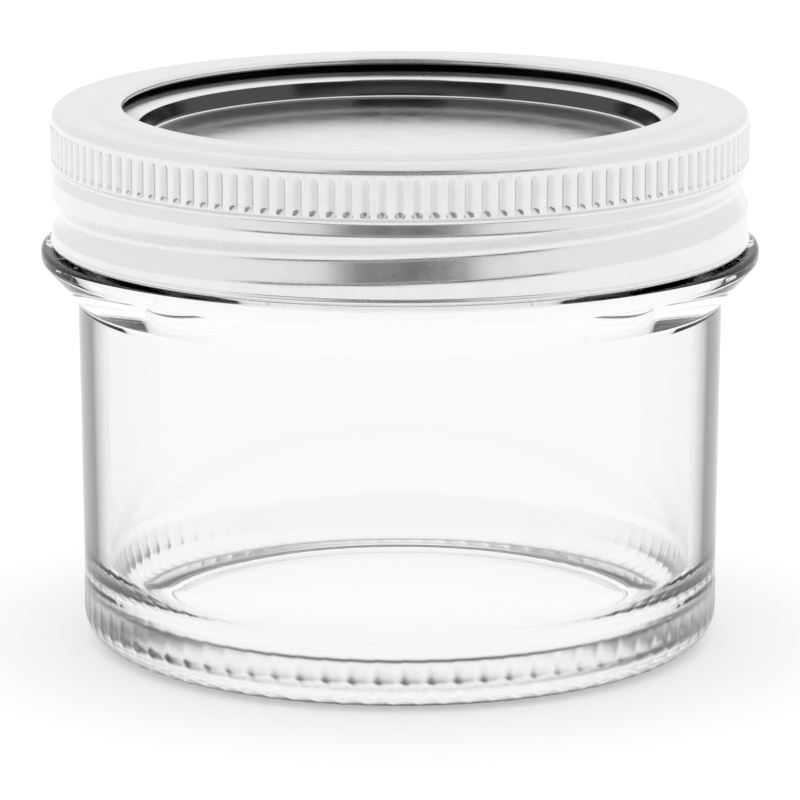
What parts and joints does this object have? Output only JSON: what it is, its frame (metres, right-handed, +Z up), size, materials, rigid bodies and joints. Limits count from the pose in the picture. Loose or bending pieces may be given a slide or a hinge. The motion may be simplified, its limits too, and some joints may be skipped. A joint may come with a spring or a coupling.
{
  "type": "canning jar",
  "caption": "Small squat canning jar in clear glass, with a recessed metal lid disc, its bonded sealing ring and a knurled screw band.",
  "frame": {"origin": "middle of the foot, on the surface that the jar stands on", "axes": "+Z up along the axis of the jar; every part is round, so +X and +Y are free"},
  "size_m": [0.074, 0.074, 0.056],
  "materials": {
    "clear_glass": "clear pressed soda-lime glass, smooth, with a stippled foot",
    "seal_compound": "matt sealing compound",
    "disc_metal": "satin silver tinplate",
    "band_metal": "satin silver tinplate, fine circular brushing on the top"
  },
  "bodies": {
    "jar": {"glass_jar": "clear_glass"},
    "lid": {"lid_disc": "disc_metal", "sealing_ring": "seal_compound"},
    "band": {"screw_band": "band_metal"}
  },
  "joints": [
    {"name": "lid_lift", "type": "slide", "parent": "jar", "child": "lid", "axis": [0, 0, 1], "range_m": [0, 0.0254]},
    {"name": "band_turn", "type": "hinge", "parent": "lid", "child": "band", "pos_m": [0, 0, 0], "axis": [0, 0, 1], "range_deg": [0, 1440]}
  ],
  "couplings": [
    {"joint": "lid_lift", "follows": "band_turn", "m_per_rad": 0.0010106}
  ]
}
